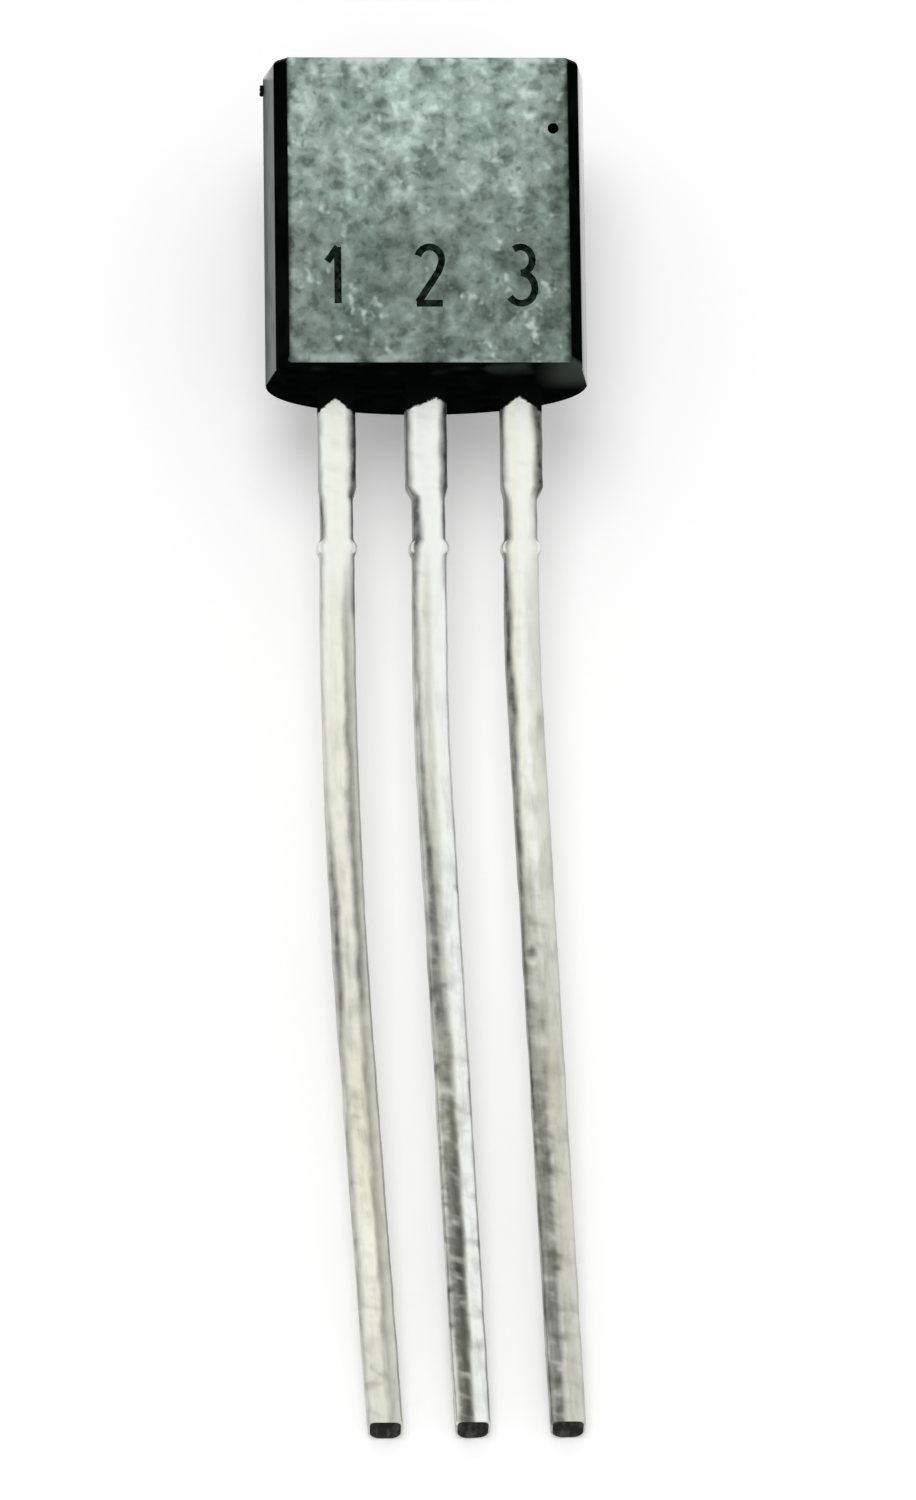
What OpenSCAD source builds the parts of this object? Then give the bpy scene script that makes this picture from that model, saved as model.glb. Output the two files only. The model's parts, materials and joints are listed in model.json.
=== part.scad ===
// TO-92 transistor: a moulded body on three flat leads, with the chip and its bond wires inside.
// It is drawn upright first: the leads hang down from the seating face at z = 0, the parting line
// of the mould is the plane y = 0, and the flat face looks toward -Y. It is then laid on its back,
// as it rests on a table: flat face up, on the bottom rim of its round back and on its lead tips.

/* [Body] */
// Width at the parting line, which is also the diameter of the round back
body_w = 4.46; // [4.2:0.02:5.4]
// Height at the parting line, from the seating face to the top
body_h = 4.5; // [3.7:0.05:5.4]
// Distance from the parting line to the flat face
flat_depth = 1.2; // [1.0:0.05:1.5]
// Width of the flat face between its two bevels
flat_w = 3.88; // [3.2:0.02:3.9]
// Width of each bevel beside the flat face, seen from the front
bevel_w = 0.17; // [0.1:0.01:0.2]
// Depth of each bevel, from the flat face back
bevel_depth = 0.4; // [0.2:0.01:0.5]
// Draft of the top and the seating face, away from the parting line, in degrees
draft = 4; // [2:0.5:7]
// Radius of the flat face's top and bottom edges
edge_r = 0.12; // [0.06:0.01:0.2]

/* [Leads] */
// Distance between the centres of neighbouring leads
pitch = 1.27; // [1.2:0.01:1.4]
// Width of a lead below its neck
lead_w = 0.48; // [0.4:0.01:0.58]
// Thickness of the stamped strip
lead_t = 0.45; // [0.36:0.01:0.54]
// Radius of a lead's long edges
lead_edge_r = 0.09; // [0.03:0.01:0.14]
// Length from the seating face to the lowest corner of the tips
lead_length = 14.59; // [12:0.01:18]
// Angle of the sheared tip, away from square
tip_cut = 22.5; // [0:0.5:25]
// Height of the broad shoulder below the seating face
shoulder_length = 1.41; // [1.0:0.01:1.8]
// Height of the taper from the shoulder to the neck
taper_length = 0.2; // [0.05:0.01:0.25]
// Width of the neck between the shoulder and the cut tie bar
neck_w = 0.45; // [0.36:0.01:0.5]
// Distance from the seating face to the middle of the cut tie bar
stub_drop = 2.3; // [2.2:0.01:2.6]
// Height of the tie bar that was cut away
stub_h = 0.12; // [0.08:0.01:0.2]
// How far a tie bar's stub stands out beside the lead
stub_out = 0.04; // [0.02:0.01:0.08]

/* [Collector lead, left] */
// How far the shoulder stands out on the left of the neck
collector_left = 0.02; // [0:0.01:0.12]
// How far the shoulder stands out on the right of the neck
collector_right = 0.05; // [0:0.01:0.12]
// Distance from the seating face to the start of the bend
collector_straight = 3.4; // [2.8:0.1:7]
// Length of the bend
collector_bend = 6.2; // [1:0.1:6.2]
// How far the lead turns to the right, in degrees
collector_turn = 3.7; // [1:0.05:6]

/* [Base lead, middle] */
// How far the shoulder stands out on the left of the neck
base_left = 0.09; // [0:0.01:0.12]
// How far the shoulder stands out on the right of the neck
base_right = 0.04; // [0:0.01:0.12]
// Distance from the seating face to the start of the bend
base_straight = 4.0; // [2.8:0.1:7]
// Length of the bend
base_bend = 1.8; // [1:0.1:6.2]
// How far the lead turns to the right, in degrees
base_turn = 2.65; // [1:0.05:6]

/* [Emitter lead, right] */
// How far the shoulder stands out on the left of the neck
emitter_left = 0.04; // [0:0.01:0.12]
// How far the shoulder stands out on the right of the neck
emitter_right = 0.09; // [0:0.01:0.12]
// Distance from the seating face to the start of the bend
emitter_straight = 3.3; // [2.8:0.1:7]
// Length of the bend
emitter_bend = 1.2; // [1:0.1:6.2]
// How far the lead turns to the right, in degrees
emitter_turn = 2.5; // [1:0.05:6]

/* [Inside the body] */
// Width of the pad that carries the chip
pad_w = 1.9; // [1.4:0.05:2.0]
// Height of the pad that carries the chip
pad_h = 1.5; // [1.0:0.05:1.6]
// Gap between the pad and the paddles of the other leads
paddle_gap = 0.42; // [0.3:0.02:0.6]
// Width of the base lead's bonding paddle
base_paddle_w = 0.8; // [0.6:0.05:1.0]
// Height of the base lead's bonding paddle
base_paddle_h = 0.65; // [0.4:0.05:0.8]
// Width of the emitter lead's bonding paddle
emitter_paddle_w = 0.85; // [0.6:0.05:0.95]
// Height of the emitter lead's bonding paddle
emitter_paddle_h = 1.2; // [0.6:0.05:1.4]
// Moulding compound left above the pad
pad_cover = 0.9; // [0.5:0.05:1.2]
// Side of the square chip
die_w = 0.42; // [0.3:0.02:0.6]
// Thickness of the chip
die_t = 0.2; // [0.1:0.01:0.25]
// How far the layer under the chip shows around it
attach_margin = 0.05; // [0.02:0.01:0.1]
// Thickness of the layer under the chip
attach_t = 0.025; // [0.01:0.005:0.05]
// Diameter of a bond wire
wire_d = 0.038; // [0.02:0.002:0.05]
// Rise of a bond wire's arch above the line between its ends
wire_rise = 0.3; // [0.15:0.01:0.4]
// Diameter of the pressed ball or foot at a wire's end
foot_d = 0.09; // [0.07:0.005:0.12]
// Thickness of the pressed ball or foot
foot_t = 0.04; // [0.03:0.002:0.05]

/* [Marks of the moulding] */
// Diameter of the broken gate on the parting line
gate_d = 0.12; // [0.08:0.01:0.3]
// How far the broken gate stands out of the side
gate_out = 0.05; // [0.02:0.01:0.1]
// Distance from the top down to the broken gate
gate_drop = 0.24; // [0.15:0.01:0.6]
// Diameter of the pinhole in the flat face
pinhole_d = 0.13; // [0.06:0.01:0.2]
// Depth of the pinhole
pinhole_depth = 0.05; // [0.02:0.005:0.06]
// Distance from the pinhole to the right-hand bevel
pinhole_from_bevel = 0.24; // [0.15:0.01:1.0]
// Distance from the top down to the pinhole
pinhole_drop = 1.09; // [0.5:0.01:2.0]

/* [Hidden] */
$fn = 64;
// a blank that is cut to shape starts this much larger
spare = 1;
// facets on a quarter of a lead's rounded edge, and along its bend
edge_steps = 4;
bend_steps = 6;
// how far the rounded, dipped part of a lead runs up into the body
root_length = 0.5;

back_r = body_w / 2;
// how far the drafted faces have drawn in at the flat face and at the back
flat_rise = flat_depth * tan(draft);
back_rise = back_r * tan(draft);

// the stamped frame inside the body
pad_left = -pitch - neck_w / 2 - collector_left;
pad_right = pad_left + pad_w;
pad_top = body_h - pad_cover;
pad_bottom = pad_top - pad_h;
base_paddle_top = pad_bottom - paddle_gap;
emitter_paddle_left = pad_right + paddle_gap;
emitter_paddle_right = emitter_paddle_left + emitter_paddle_w;
emitter_paddle_bottom = pad_top - emitter_paddle_h - paddle_gap;

// the chip, and where its wires start and end, as [x, y, z]
lead_face = -lead_t / 2;
die_x = (pad_left + pad_right) / 2 + die_w / 4;
die_z = (pad_bottom + pad_top) / 2;
die_face = lead_face - attach_t - die_t;
base_ball = [die_x - die_w / 5, die_face, die_z - die_w / 5];
base_foot = [0, lead_face, base_paddle_top - base_paddle_h / 2];
emitter_ball = [die_x + die_w / 5, die_face, die_z + die_w / 5];
emitter_foot = [(emitter_paddle_left + emitter_paddle_right) / 2, lead_face,
                emitter_paddle_bottom + emitter_paddle_h / 2];

// the resting pose: the line from the lead tips to the bottom rim of the back lies on the table
rest_tilt = atan2(back_r - lead_t / 2, lead_length + back_rise);
table_drop = lead_t / 2 * cos(rest_tilt) + lead_length * sin(rest_tilt);
// how far the part then reaches along the table: each way, the further one of two corners
tip_front = lead_length - lead_t * tan(tip_cut);
tip_reach = min(
    lead_t / 2 * sin(rest_tilt) - lead_length * cos(rest_tilt),
    -lead_t / 2 * sin(rest_tilt) - tip_front * cos(rest_tilt)
);
top_reach = max(
    body_h * cos(rest_tilt),
    back_r * sin(rest_tilt) + (body_h - back_rise) * cos(rest_tilt)
);

// lays the upright part on its back, with the middle of its footprint at the origin
module at_rest() {
    translate([0, -(tip_reach + top_reach) / 2, table_drop])
        rotate([-90 + rest_tilt, 0, 0])
            children();
}

// a 2D shape drawn in the XZ plane, given a thickness from y0 to y1
module plate(y0, y1) {
    translate([0, y1, 0])
        rotate([90, 0, 0])
            linear_extrude(y1 - y0)
                children();
}

// ---- body ----

// outline seen from above: the round back, the drafted side walls, the bevels and the flat
module plan_outline() {
    intersection() {
        circle(r = back_r, $fn = 128);
        translate([-back_r, 0])
            square([body_w, back_r]);
    }
    polygon([
        [-back_r, 0],
        [-flat_w / 2 - bevel_w, bevel_depth - flat_depth],
        [-flat_w / 2, -flat_depth],
        [flat_w / 2, -flat_depth],
        [flat_w / 2 + bevel_w, bevel_depth - flat_depth],
        [back_r, 0]
    ]);
}

// outline seen from the side, in Y and Z: drafted top and seating face, rounded edges at the flat
module side_outline() {
    // the rounded edge touches the flat and the drafted face this far from their corner
    reach = edge_r * tan(45 - draft / 2);
    difference() {
        polygon([
            [-flat_depth, flat_rise],
            [0, 0],
            [back_r, back_rise],
            [back_r, body_h - back_rise],
            [0, body_h],
            [-flat_depth, body_h - flat_rise]
        ]);
        for (top = [0, 1])
            translate([0, top * body_h])
                mirror([0, top])
                    edge_waste(reach);
    }
}

// what the rounding takes off the bottom corner of the side outline
module edge_waste(reach) {
    difference() {
        polygon([
            [-flat_depth, flat_rise + reach],
            [-flat_depth - spare, flat_rise + reach],
            [-flat_depth - spare, -spare],
            [-flat_depth + reach * cos(draft), -spare],
            [-flat_depth + reach * cos(draft), flat_rise - reach * sin(draft)],
            [-flat_depth + edge_r, flat_rise + reach]
        ]);
        translate([-flat_depth + edge_r, flat_rise + reach])
            circle(r = edge_r);
    }
}

module moulding() {
    intersection() {
        translate([0, 0, -spare])
            linear_extrude(body_h + 2 * spare)
                plan_outline();
        translate([-back_r - spare, 0, 0])
            rotate([90, 0, 90])
                linear_extrude(body_w + 2 * spare)
                    side_outline();
    }
    // what is left of the gate that the compound came in through
    translate([-back_r - gate_out, 0, body_h - gate_drop])
        rotate([0, 90, 0])
            cylinder(d = gate_d, h = gate_out + gate_d);
}

// a gas bubble that broke the surface: a shallow round pit
module pinhole() {
    // the sphere whose cap has the pit's diameter and depth
    ball_r = (pow(pinhole_d / 2, 2) + pow(pinhole_depth, 2)) / (2 * pinhole_depth);
    translate([
        flat_w / 2 - pinhole_from_bevel,
        -flat_depth - ball_r + pinhole_depth,
        body_h - pinhole_drop
    ])
        sphere(r = ball_r);
}

module epoxy_body() {
    color("#26302d")
        at_rest()
            difference() {
                moulding();
                pinhole();
                upright_collector();
                upright_base();
                upright_emitter();
                upright_attach();
                upright_die();
                upright_wire(base_ball, base_foot);
                upright_wire(emitter_ball, emitter_foot);
            }
}

// ---- leads ----

// corner points of a lead's cross-section with rounded long edges, as [x, y], from x0 to x1
function section_points(x0, x1) = [
    for (corner = [[x1, 1, 0], [x0, 1, 90], [x0, -1, 180], [x1, -1, 270]])
        for (step = [0 : edge_steps])
            let (
                angle = corner[2] + 90 * step / edge_steps,
                inward = corner[0] == x1 ? -lead_edge_r : lead_edge_r
            )
            [
                corner[0] + inward + lead_edge_r * cos(angle),
                corner[1] * (lead_t / 2 - lead_edge_r) + lead_edge_r * sin(angle)
            ]
];

// the middle of a lead and its heading, at a distance s along it below the seating face
function bend_angle(s, straight, bend, turn) = turn * min(max(s - straight, 0), bend) / bend;
function lead_place(s, straight, bend, turn) =
    let (
        bend_r = bend * 180 / (PI * turn),
        angle = bend_angle(s, straight, bend, turn),
        past = max(s - straight - bend, 0)
    )
    [
        bend_r * (1 - cos(angle)) + past * sin(angle),
        -min(s, straight) - bend_r * sin(angle) - past * cos(angle)
    ];

// one ring of points across the lead at the distance s along it, from x0 to x1 beside its middle
function lead_ring(s, x0, x1, straight, bend, turn) =
    let (
        angle = bend_angle(s, straight, bend, turn),
        place = lead_place(s, straight, bend, turn)
    )
    [
        for (p = section_points(x0, x1))
            [place[0] + p[0] * cos(angle), p[1], place[1] + p[0] * sin(angle)]
    ];

// the last ring, where each point runs on along the lead to the sheared tip
function tip_ring(x0, x1, straight, bend, turn) = [
    for (p = lead_ring(straight + bend, x0, x1, straight, bend, turn))
        let (
            cut_z = (lead_t / 2 - p[1]) * tan(tip_cut) - lead_length,
            run = (p[2] - cut_z) / cos(turn)
        )
        [p[0] + run * sin(turn), p[1], cut_z]
];

// a closed skin over a stack of rings, from the first ring down to the last
module skin(rings) {
    n = len(rings[0]);
    last = (len(rings) - 1) * n;
    sides = [
        for (i = [0 : len(rings) - 2], j = [0 : n - 1])
            let (k = (j + 1) % n)
            each [
                [i * n + j, i * n + k, (i + 1) * n + k],
                [i * n + j, (i + 1) * n + k, (i + 1) * n + j]
            ]
    ];
    polyhedron(
        points = [for (ring = rings) each ring],
        faces = concat(
            [[for (j = [n - 1 : -1 : 0]) j]],
            sides,
            [[for (j = [0 : n - 1]) last + j]]
        )
    );
}

// the lead outside the body: shoulder, taper, neck, cut tie bar, straight, bend and sheared tip
module outer_lead(left, right, straight, bend, turn) {
    shoulder = [-neck_w / 2 - left, neck_w / 2 + right];
    neck = [-neck_w / 2, neck_w / 2];
    stub = [-lead_w / 2 - stub_out, lead_w / 2 + stub_out];
    plain = [-lead_w / 2, lead_w / 2];
    stub_top = stub_drop - stub_h / 2;
    stub_bottom = stub_drop + stub_h / 2;
    stations = [
        [-root_length, shoulder],
        [shoulder_length, shoulder],
        [shoulder_length + taper_length, neck],
        [stub_top - stub_out, neck],
        [stub_top, stub],
        [stub_bottom, stub],
        [stub_bottom + stub_out, plain],
        for (step = [0 : bend_steps]) [straight + bend * step / bend_steps, plain]
    ];
    skin([
        for (at = stations) lead_ring(at[0], at[1][0], at[1][1], straight, bend, turn),
        tip_ring(plain[0], plain[1], straight, bend, turn)
    ]);
}

// a paddle of the stamped frame on the end of its strip, both sharp-edged inside the body
module inner_lead(strip_left, strip_w, left, right, bottom, top) {
    plate(-lead_t / 2, lead_t / 2) {
        translate([strip_left, root_length])
            square([strip_w, top - root_length]);
        translate([left, bottom])
            square([right - left, top - bottom]);
    }
}

module upright_collector() {
    translate([-pitch, 0, 0])
        outer_lead(collector_left, collector_right,
                   collector_straight, collector_bend, collector_turn);
    inner_lead(pad_left, neck_w + collector_left + collector_right,
               pad_left, pad_right, pad_bottom, pad_top);
}

module upright_base() {
    outer_lead(base_left, base_right, base_straight, base_bend, base_turn);
    inner_lead(-neck_w / 2 - base_left, neck_w + base_left + base_right,
               -base_paddle_w / 2, base_paddle_w / 2,
               base_paddle_top - base_paddle_h, base_paddle_top);
}

module upright_emitter() {
    translate([pitch, 0, 0])
        outer_lead(emitter_left, emitter_right,
                   emitter_straight, emitter_bend, emitter_turn);
    inner_lead(pitch - neck_w / 2 - emitter_left, neck_w + emitter_left + emitter_right,
               emitter_paddle_left, emitter_paddle_right,
               emitter_paddle_bottom, emitter_paddle_bottom + emitter_paddle_h);
}

module collector_lead() {
    color("#d9dad2")
        at_rest()
            upright_collector();
}

module base_lead() {
    color("#d9dad2")
        at_rest()
            upright_base();
}

module emitter_lead() {
    color("#d9dad2")
        at_rest()
            upright_emitter();
}

// ---- chip ----

// a square block standing on a face that looks toward -Y
module chip_block(side, face, thickness) {
    translate([die_x - side / 2, face - thickness, die_z - side / 2])
        cube([side, thickness, side]);
}

module upright_attach() {
    chip_block(die_w + 2 * attach_margin, lead_face, attach_t);
}

module upright_die() {
    chip_block(die_w, lead_face - attach_t, die_t);
}

module die_attach() {
    color("#8d9094")
        at_rest()
            upright_attach();
}

module silicon_die() {
    color("#5c6470")
        at_rest()
            upright_die();
}

// ---- bond wires ----

// a pressed ball or foot on a face that looks toward -Y
module wire_foot(place) {
    translate(place)
        rotate([90, 0, 0])
            cylinder(d = foot_d, h = foot_t, $fn = 32);
}

// a wire that arches from the middle of one foot to the middle of the other, toward -Y
module upright_wire(from, to) {
    start = from - [0, foot_t / 2, 0];
    end = to - [0, foot_t / 2, 0];
    span = end - start;
    chord = norm(span);
    arch_r = (chord * chord / 4 + wire_rise * wire_rise) / (2 * wire_rise);
    half_angle = asin(chord / 2 / arch_r);
    // directions along the chord and square to it, toward -Y
    across = norm([span[0], span[2]]);
    heading = atan2(span[2], span[0]);
    slope = atan2(span[1], across);
    wire_foot(from);
    wire_foot(to);
    translate((start + end) / 2)
        rotate([0, -heading, 0])
            rotate([0, 0, slope])
                translate([0, arch_r - wire_rise, 0])
                    rotate([0, 0, -90 - half_angle])
                        rotate_extrude(angle = 2 * half_angle, $fn = 128)
                            translate([arch_r, 0])
                                circle(d = wire_d, $fn = 24);
}

module base_bond_wire() {
    color("#b9784a")
        at_rest()
            upright_wire(base_ball, base_foot);
}

module emitter_bond_wire() {
    color("#b9784a")
        at_rest()
            upright_wire(emitter_ball, emitter_foot);
}

epoxy_body();
collector_lead();
base_lead();
emitter_lead();
silicon_die();
die_attach();
base_bond_wire();
emitter_bond_wire();
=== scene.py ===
import json
import math

import bmesh
import bpy
from mathutils import Matrix, Vector


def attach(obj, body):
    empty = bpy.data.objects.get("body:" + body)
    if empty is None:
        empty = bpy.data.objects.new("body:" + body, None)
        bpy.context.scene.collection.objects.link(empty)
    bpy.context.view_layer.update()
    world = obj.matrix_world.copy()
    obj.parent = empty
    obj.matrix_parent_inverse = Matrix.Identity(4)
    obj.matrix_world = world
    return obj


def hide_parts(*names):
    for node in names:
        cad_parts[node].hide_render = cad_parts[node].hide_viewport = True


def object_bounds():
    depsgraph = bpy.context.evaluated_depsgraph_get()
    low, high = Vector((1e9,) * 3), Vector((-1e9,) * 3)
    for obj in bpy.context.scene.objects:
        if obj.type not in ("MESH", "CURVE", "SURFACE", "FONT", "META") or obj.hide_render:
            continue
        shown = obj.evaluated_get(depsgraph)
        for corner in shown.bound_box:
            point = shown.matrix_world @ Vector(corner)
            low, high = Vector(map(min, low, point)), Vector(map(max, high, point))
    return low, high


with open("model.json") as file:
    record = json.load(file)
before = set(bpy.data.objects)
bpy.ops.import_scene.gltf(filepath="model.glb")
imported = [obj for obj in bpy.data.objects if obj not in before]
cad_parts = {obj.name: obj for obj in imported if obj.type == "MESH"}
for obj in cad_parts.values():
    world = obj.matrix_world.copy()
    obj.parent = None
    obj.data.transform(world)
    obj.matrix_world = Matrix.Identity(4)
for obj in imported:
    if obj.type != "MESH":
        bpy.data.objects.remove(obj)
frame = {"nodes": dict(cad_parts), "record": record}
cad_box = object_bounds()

# ---------------------------------------------------------------------------------------------
# Leads. Three legs stamped side by side from one flat strip of copper alloy and dipped in tin.
# The strip's tie bar was cut away after moulding, and the legs were sheared to length together.
# ---------------------------------------------------------------------------------------------

# sizes are in millimetres, on the part stood upright with its flat toward -Y and its seating face
# at height 0; a place along a lead is measured down from there, and places that are no further
# than NEAR from each other count as the same
MM = 0.001
NEAR = 1e-4
WELD = 1e-5
PITCH = 1.27
STRIP_T = 0.45
EDGE_R = 0.09
BACK_EDGE_R = 0.17
LEAD_W = 0.48
NECK_W = 0.45
LEAD_LENGTH = 14.59
SHEARED_OFF = 0.4
TARNISH_END = LEAD_LENGTH + 0.5
TIP_CUT = math.radians(22.5)
TIP_R = 0.03
SHOULDER_END = 1.41
TAPER_END = 1.61
TIE_BAR = 2.3
TIE_BAR_H = 0.12
TIE_BAR_OUT = 0.04
RING_GAP = 0.13
BEND_STEPS = 12
LUMP_SIZE = 0.42
LUMP_H = 0.022

mounts = {mount["name"]: mount for mount in frame["record"]["mounts"]}
seat = Vector(mounts["lead_row"]["pos_m"])
tilt = math.asin(-mounts["lead_row"]["axis"][2])


def only(piece):
    """Make one piece the active one, with nothing else selected."""
    if bpy.context.object and bpy.context.object.mode != "OBJECT":
        bpy.ops.object.mode_set(mode="OBJECT")
    bpy.ops.object.select_all(action="DESELECT")
    piece.select_set(True)
    bpy.context.view_layer.objects.active = piece


def start(primitive, name, **sizes):
    """Add a primitive, name it, and open it in edit mode with all of it selected."""
    if bpy.context.object and bpy.context.object.mode != "OBJECT":
        bpy.ops.object.mode_set(mode="OBJECT")
    bpy.ops.object.select_all(action="DESELECT")
    primitive(**sizes)
    piece = bpy.context.object
    piece.name = piece.data.name = name
    bpy.ops.object.mode_set(mode="EDIT")
    bpy.ops.mesh.select_all(action="SELECT")
    return piece


def pick(test, kind="verts"):
    """In edit mode, select the vertices, edges or faces that pass the test; say how many did."""
    bpy.ops.mesh.select_all(action="DESELECT")
    bpy.ops.mesh.select_mode(type={"verts": "VERT", "edges": "EDGE", "faces": "FACE"}[kind])
    data = bpy.context.edit_object.data
    mesh = bmesh.from_edit_mesh(data)
    found = 0
    for part in getattr(mesh, kind):
        if test(part):
            part.select_set(True)
            found += 1
    mesh.select_flush_mode()
    bmesh.update_edit_mesh(data)
    return found


def modify(piece, kind, **settings):
    """Add a modifier to a piece and apply it at once."""
    only(piece)
    modifier = piece.modifiers.new(kind.title(), kind)
    for setting, value in settings.items():
        setattr(modifier, setting, value)
    bpy.ops.object.modifier_apply(modifier=modifier.name)


def lay_down(piece):
    """Lay a piece drawn upright in millimetres on its back, at its place in the frame."""
    piece.scale = (MM, MM, MM)
    piece.rotation_euler = (tilt - math.pi / 2, 0, 0)
    piece.location = seat
    only(piece)
    bpy.ops.object.transform_apply(location=True, rotation=True, scale=True)


def node(tree, kind, inputs=None, **settings):
    """Add a shader node, set its settings, and fill or link its inputs."""
    made = tree.nodes.new("ShaderNode" + kind)
    for setting, value in settings.items():
        setattr(made, setting, value)
    for socket, value in (inputs or {}).items():
        if isinstance(value, bpy.types.NodeSocket):
            tree.links.new(value, made.inputs[socket])
        else:
            made.inputs[socket].default_value = value
    return made


def maths(tree, operation, *values, clamp=False):
    """One step of arithmetic on numbers or sockets."""
    inputs = dict(enumerate(values))
    return node(tree, "Math", inputs, operation=operation, use_clamp=clamp).outputs[0]


def blend(tree, amount, first, second, kind="MIX"):
    """Mix two colours by an amount."""
    made = node(tree, "Mix", data_type="RGBA", blend_type=kind)
    for socket, value in ((0, amount), (6, first), (7, second)):
        if isinstance(value, bpy.types.NodeSocket):
            tree.links.new(value, made.inputs[socket])
        else:
            made.inputs[socket].default_value = value
    return made.outputs[2]


def fade(tree, value, low, high, start_at=0.0, end_at=1.0):
    """A smooth step: start_at below low, end_at above high."""
    made = node(tree, "MapRange", {0: value, 1: low, 2: high, 3: start_at, 4: end_at},
                interpolation_type="SMOOTHSTEP")
    return made.outputs[0]


def tone(red, green, blue):
    """A colour written as it looks on a screen, 0 to 255, as the linear value the shader takes."""
    parts = [part / 255 for part in (red, green, blue)]
    return (*[p / 12.92 if p <= 0.04045 else ((p + 0.055) / 1.055) ** 2.4 for p in parts], 1)


def material(name, colour, **shader_inputs):
    """A new material and its tree and shader, with plain values set on the shader itself."""
    made = bpy.data.materials.new(name)
    made.use_nodes = True
    tree = made.node_tree
    tree.nodes.clear()
    shader = node(tree, "BsdfPrincipled", {"Base Color": colour})
    for socket, value in shader_inputs.items():
        shader.inputs[socket.replace("_", " ")].default_value = value
    node(tree, "OutputMaterial", {"Surface": shader.outputs[0]})
    made.diffuse_color = colour
    return made, tree, shader


def ramp(tree, value, stops):
    """Follow a list of (place, colour) stops along a value; straight lines between them."""
    made = node(tree, "ValToRGB", {0: value})
    elements = made.color_ramp.elements
    while len(elements) < len(stops):
        elements.new(1.0)
    for element, (at, colour) in zip(elements, stops):
        element.position = at
        element.color = colour
    return made.outputs[0]


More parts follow.
